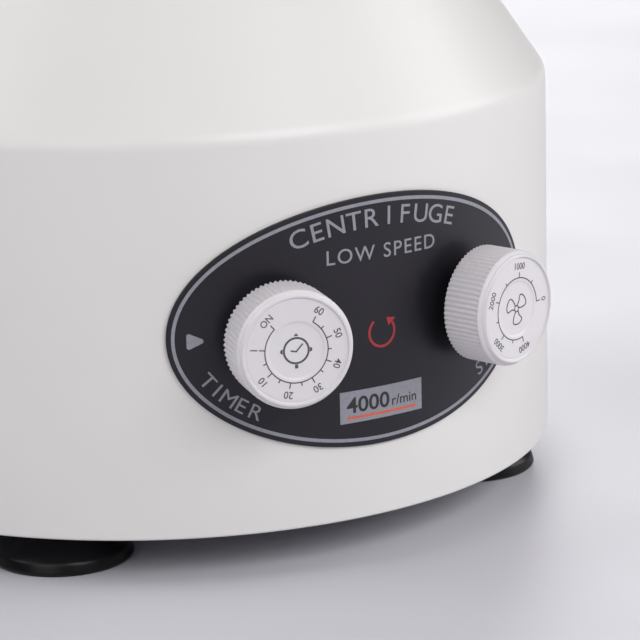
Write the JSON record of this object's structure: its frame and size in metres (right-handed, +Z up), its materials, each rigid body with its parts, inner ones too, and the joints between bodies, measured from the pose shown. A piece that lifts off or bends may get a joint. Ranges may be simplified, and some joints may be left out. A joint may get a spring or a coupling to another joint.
{
  "type": "laboratory centrifuge with timer",
  "caption": "Small round bench-top laboratory centrifuge with a clockwork timer dial, a speed dial, an angled tube rotor under a hinged lid and suction feet.",
  "frame": {"origin": "on the bench, on the axis of the rotor, which is the centre of the round body", "axes": "+Z up along the rotor axis, the control panel faces -Y, +X to the right of someone facing the panel"},
  "size_m": [0.261, 0.3013, 0.2023],
  "materials": {
    "shell": "satin moulded ABS",
    "panel": "satin black with fine grain",
    "knob": "satin moulded plastic",
    "rubber": "soft black rubber",
    "seal": "soft black rubber",
    "steel": "plain steel",
    "zinc": "zinc plated sheet",
    "aluminium": "machined aluminium",
    "brass": "stamped brass",
    "copper": "copper windings",
    "window": "clear polycarbonate",
    "board": "green lacquered laminate",
    "black_plastic": "moulded black plastic",
    "wire": "plastic insulation"
  },
  "bodies": {
    "base": {"housing": "shell", "base_plate": "zinc", "foot_1": "rubber", "foot_2": "rubber", "foot_3": "rubber", "foot_4": "rubber", "chamber_bowl": "steel", "bowl_gasket": "seal", "hinge_bracket": "steel", "hinge_pin": "steel", "latch_spring": "steel", "control_panel": "panel", "timer_frame": "zinc", "timer_back_plate": "brass", "timer_mainspring": "steel", "timer_switch": "black_plastic", "timer_bell": "steel", "timer_nut": "steel", "pot_body": "aluminium", "pot_nut": "steel", "control_board": "board", "board_capacitor": "aluminium", "power_inlet": "black_plastic", "motor_can": "zinc", "motor_end_cap": "black_plastic", "motor_plate": "zinc", "isolator_1": "rubber", "isolator_2": "rubber", "isolator_3": "rubber", "upper_bearing": "steel", "lower_bearing": "steel", "inlet_wires": "wire", "motor_wires": "wire"},
    "lid": {"lid_shell": "shell", "lid_window": "window", "window_ring": "black_plastic", "lid_gasket": "seal", "lid_hinge_arm": "steel", "lid_catch": "steel"},
    "latch": {"latch_button": "black_plastic"},
    "timer_dial": {"timer_knob": "knob", "timer_shaft": "steel", "timer_drive_wheel": "brass"},
    "timer_second": {"timer_second_wheel": "brass"},
    "timer_escape": {"timer_escape_wheel": "brass"},
    "timer_anchor": {"timer_pallet": "steel"},
    "speed_dial": {"speed_knob": "knob", "pot_shaft": "steel"},
    "spinner": {"rotor": "aluminium", "rotor_nut": "steel", "motor_shaft": "steel", "armature": "copper", "commutator": "copper"},
    "fuse": {"fuse_drawer": "black_plastic"},
    "sleeve_1": {"tube_sleeve_1": "aluminium"},
    "sleeve_2": {"tube_sleeve_2": "aluminium"},
    "sleeve_3": {"tube_sleeve_3": "aluminium"},
    "sleeve_4": {"tube_sleeve_4": "aluminium"},
    "sleeve_5": {"tube_sleeve_5": "aluminium"},
    "sleeve_6": {"tube_sleeve_6": "aluminium"}
  },
  "joints": [
    {"name": "lid_hinge", "type": "hinge", "parent": "base", "child": "lid", "pos_m": [0, 0.106, 0.183], "axis": [-1, 0, 0], "range_deg": [0, 100]},
    {"name": "latch_press", "type": "slide", "parent": "base", "child": "latch", "axis": [0, 1, 0], "range_m": [0, 0.003], "stiffness_N_per_m": 400, "springref_m": -0.002, "deforming": ["latch_spring"]},
    {"name": "timer_knob_turn", "type": "hinge", "parent": "base", "child": "timer_dial", "pos_m": [-0.03457, -0.12636, 0.0753], "axis": [-0.2639, -0.9646, 0], "range_deg": [-240, 45]},
    {"name": "timer_second_turn", "type": "hinge", "parent": "base", "child": "timer_second", "pos_m": [-0.0406, -0.10293, 0.0663], "axis": [-0.2639, -0.9646, 0], "range_deg": [-180, 960]},
    {"name": "timer_escape_turn", "type": "hinge", "parent": "base", "child": "timer_escape", "pos_m": [-0.03268, -0.10303, 0.05987], "axis": [-0.2639, -0.9646, 0], "range_deg": [-2880, 540]},
    {"name": "timer_pallet_rock", "type": "hinge", "parent": "base", "child": "timer_anchor", "pos_m": [-0.02374, -0.10444, 0.05987], "axis": [-0.2639, -0.9646, 0], "range_deg": [-3, 3]},
    {"name": "speed_knob_turn", "type": "hinge", "parent": "base", "child": "speed_dial", "pos_m": [0.03457, -0.12636, 0.0753], "axis": [0.2639, -0.9646, 0], "range_deg": [-300, 0]},
    {"name": "rotor_spin", "type": "hinge", "parent": "base", "child": "spinner", "pos_m": [0, 0, 0.12], "axis": [0, 0, 1], "continuous": true},
    {"name": "fuse_slide", "type": "slide", "parent": "base", "child": "fuse", "axis": [0, 1, 0], "range_m": [0, 0.022]},
    {"name": "sleeve_1_lift", "type": "slide", "parent": "spinner", "child": "sleeve_1", "axis": [-0.433, -0.25, 0.866], "range_m": [0, 0.012]},
    {"name": "sleeve_2_lift", "type": "slide", "parent": "spinner", "child": "sleeve_2", "axis": [0, -0.5, 0.866], "range_m": [0, 0.012]},
    {"name": "sleeve_3_lift", "type": "slide", "parent": "spinner", "child": "sleeve_3", "axis": [0.433, -0.25, 0.866], "range_m": [0, 0.012]},
    {"name": "sleeve_4_lift", "type": "slide", "parent": "spinner", "child": "sleeve_4", "axis": [0.433, 0.25, 0.866], "range_m": [0, 0.012]},
    {"name": "sleeve_5_lift", "type": "slide", "parent": "spinner", "child": "sleeve_5", "axis": [0, 0.5, 0.866], "range_m": [0, 0.012]},
    {"name": "sleeve_6_lift", "type": "slide", "parent": "spinner", "child": "sleeve_6", "axis": [-0.433, 0.25, 0.866], "range_m": [0, 0.012]}
  ],
  "couplings": [
    {"joint": "timer_second_turn", "follows": "timer_knob_turn", "ratio": -4},
    {"joint": "timer_escape_turn", "follows": "timer_knob_turn", "ratio": 12}
  ]
}
